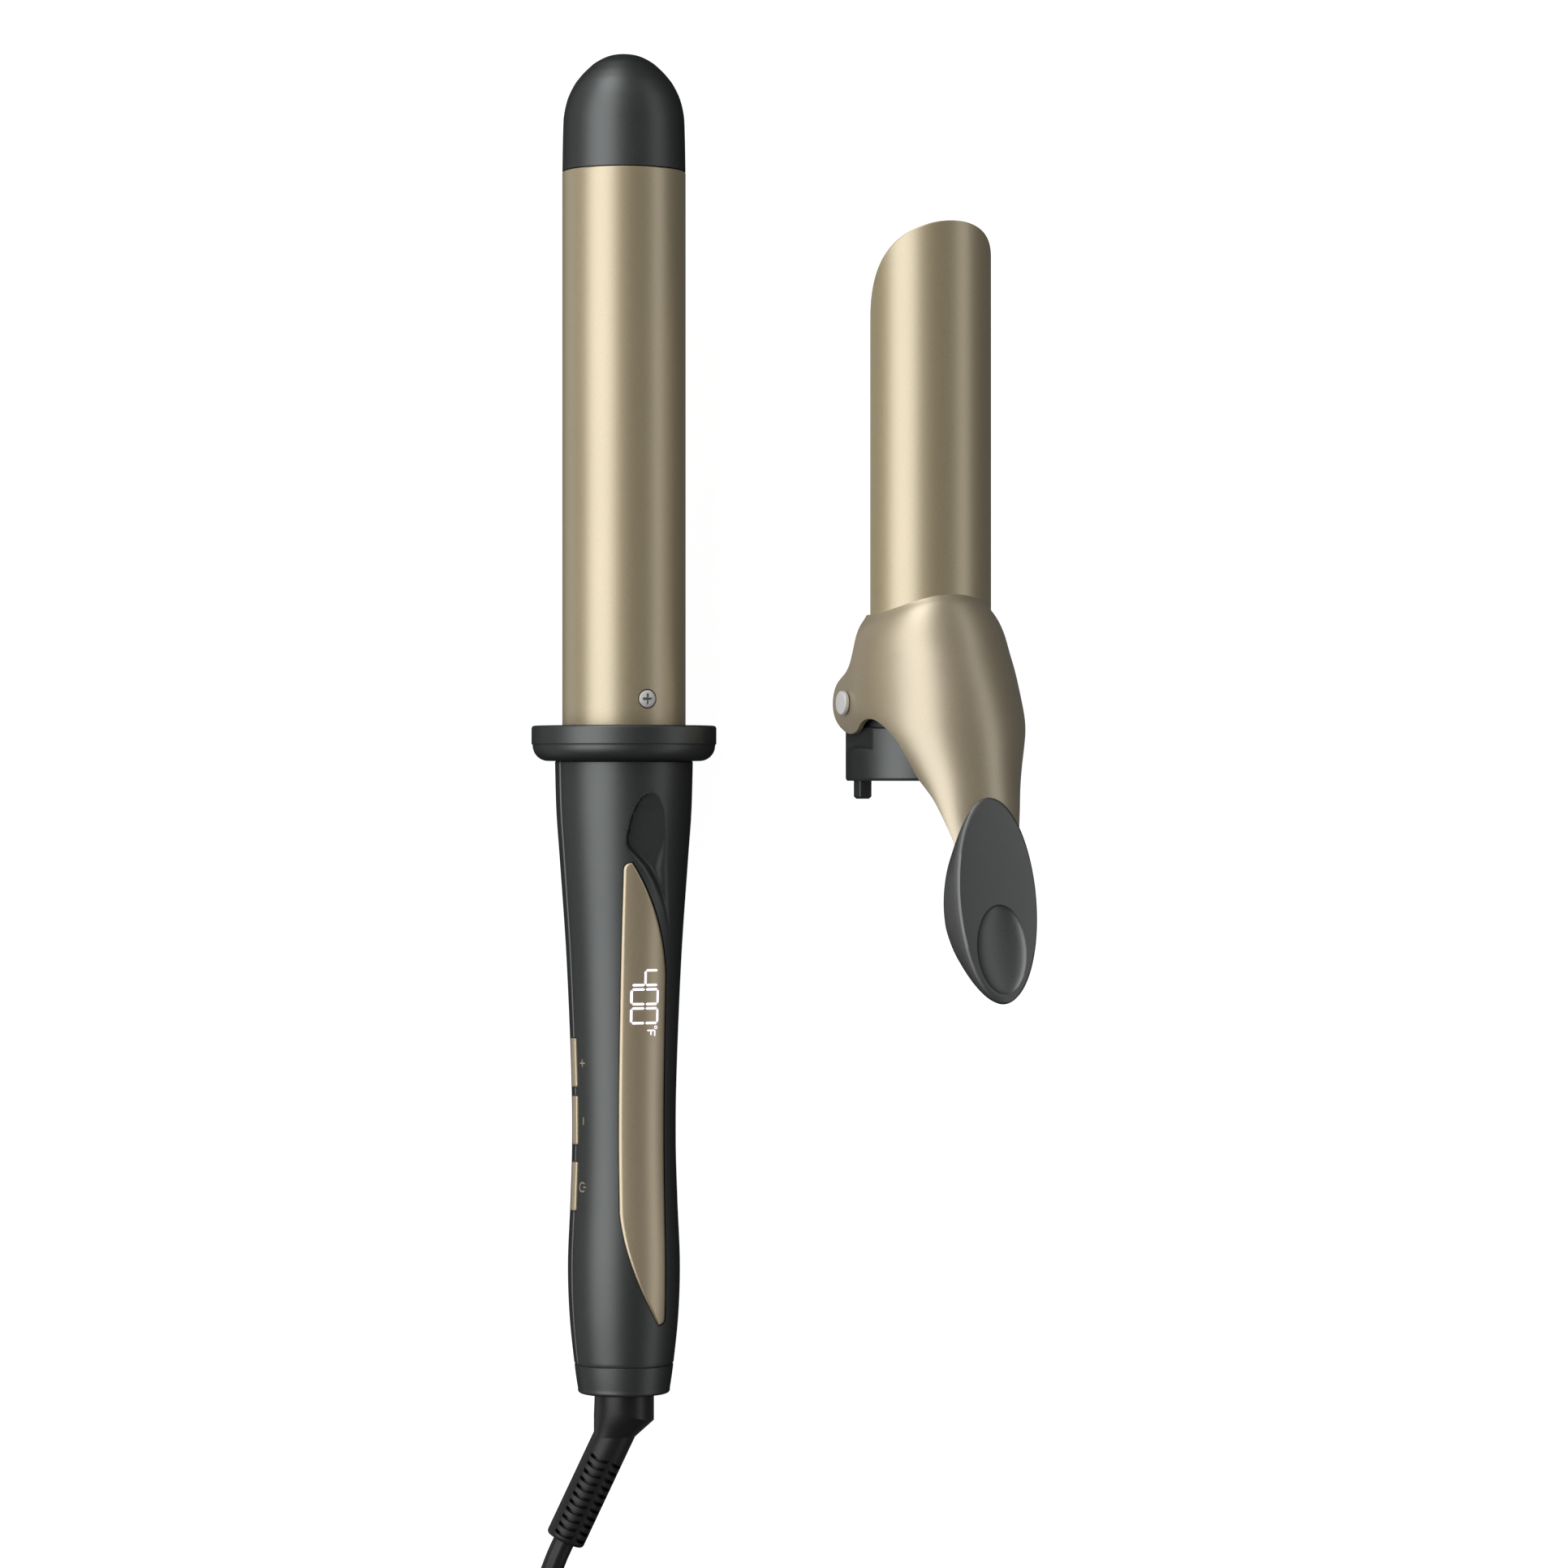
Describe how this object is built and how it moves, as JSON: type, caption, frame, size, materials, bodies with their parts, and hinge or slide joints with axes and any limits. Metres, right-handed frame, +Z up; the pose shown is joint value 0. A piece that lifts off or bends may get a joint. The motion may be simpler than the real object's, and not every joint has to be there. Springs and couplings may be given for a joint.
{
  "type": "curling iron",
  "caption": "Curling iron: a cylindrical barrel on a waisted handle with a swivel lead, and beside it the detachable sprung clip that slides over the barrel.",
  "frame": {"origin": "on the table below the middle of the box around the wand and the clip, without the free cord and its plug", "axes": "+Z up from the table, +Y along the barrel towards its tip, +X from the wand towards the clip"},
  "size_m": [0.1363, 0.4916, 0.0651],
  "materials": {
    "gold_metal": "satin champagne coating with a fine metallic grain",
    "gold_trim": "satin champagne paint on plastic",
    "graphite_plastic": "soft satin graphite with a fine texture",
    "black_plastic": "satin black",
    "black_rubber": "satin black moulded PVC",
    "steel": "zinc plated",
    "aluminium": "extruded",
    "ceramic": "unglazed heat-resistant",
    "circuit_board": "green solder mask",
    "copper_wire": "bare"
  },
  "bodies": {
    "wand": {"barrel_tube": "gold_metal", "cool_tip": "graphite_plastic", "tip_insulator": "ceramic", "heat_spreader_front": "aluminium", "heat_spreader_rear": "aluminium", "ptc_heater_strip": "ceramic", "temperature_sensor": "steel", "thermal_fuse": "steel", "barrel_carrier": "ceramic", "barrel_screw_front": "steel", "barrel_screw_rear": "steel", "heat_guard_disc": "graphite_plastic", "handle_front_shell": "graphite_plastic", "handle_rear_shell": "graphite_plastic", "handle_screw_upper": "steel", "handle_screw_lower": "steel", "handle_end_cap": "graphite_plastic", "display_panel": "gold_trim", "control_board": "circuit_board", "display_module": "black_plastic", "switch_board": "circuit_board", "tact_switch_high": "black_plastic", "tact_switch_low": "black_plastic", "tact_switch_power": "black_plastic", "heater_wire_live": "copper_wire", "heater_wire_neutral": "copper_wire", "swivel_contact_block": "black_plastic", "power_cord_lead": "black_rubber", "power_cord_coil": "black_rubber", "power_cord_tail": "black_rubber", "cord_tie": "black_rubber", "plug_strain_relief": "black_rubber", "plug_body": "black_plastic", "plug_blade_left": "steel", "plug_blade_right": "steel"},
    "swivel": {"swivel_neck": "black_plastic", "cord_strain_relief": "black_rubber"},
    "button_high": {"button_high": "gold_trim"},
    "button_low": {"button_low": "gold_trim"},
    "button_power": {"button_power": "gold_trim"},
    "clip_base": {"clip_collar": "graphite_plastic", "pivot_pin_left": "steel", "pivot_pin_right": "steel", "return_spring_left": "steel", "return_spring_right": "steel"},
    "clip_lever": {"clamp_spoon": "gold_metal", "clamp_hood": "gold_metal", "thumb_pad": "graphite_plastic"}
  },
  "joints": [
    {"name": "clip_lift", "type": "slide", "parent": "wand", "child": "clip_base", "axis": [0, 0, 1], "range_m": [0, 0.09]},
    {"name": "clip_squeeze", "type": "hinge", "parent": "clip_base", "child": "clip_lever", "pos_m": [0.03578, 0.025, 0.01862], "axis": [0.9135, 0, -0.4067], "range_deg": [0, 11], "stiffness_Nm_per_rad": 1.2, "springref_deg": -14.32},
    {"name": "cord_swivel", "type": "hinge", "parent": "wand", "child": "swivel", "pos_m": [-0.0412, -0.1458, 0.0238], "axis": [0, 1, 0], "continuous": true},
    {"name": "press_high", "type": "slide", "parent": "wand", "child": "button_high", "axis": [0.9135, 0, -0.4067], "range_m": [0, 0.0005], "stiffness_N_per_m": 500, "springref_m": -0.001},
    {"name": "press_low", "type": "slide", "parent": "wand", "child": "button_low", "axis": [0.9135, 0, -0.4067], "range_m": [0, 0.0005], "stiffness_N_per_m": 500, "springref_m": -0.001},
    {"name": "press_power", "type": "slide", "parent": "wand", "child": "button_power", "axis": [0.9135, 0, -0.4067], "range_m": [0, 0.0005], "stiffness_N_per_m": 500, "springref_m": -0.001}
  ]
}
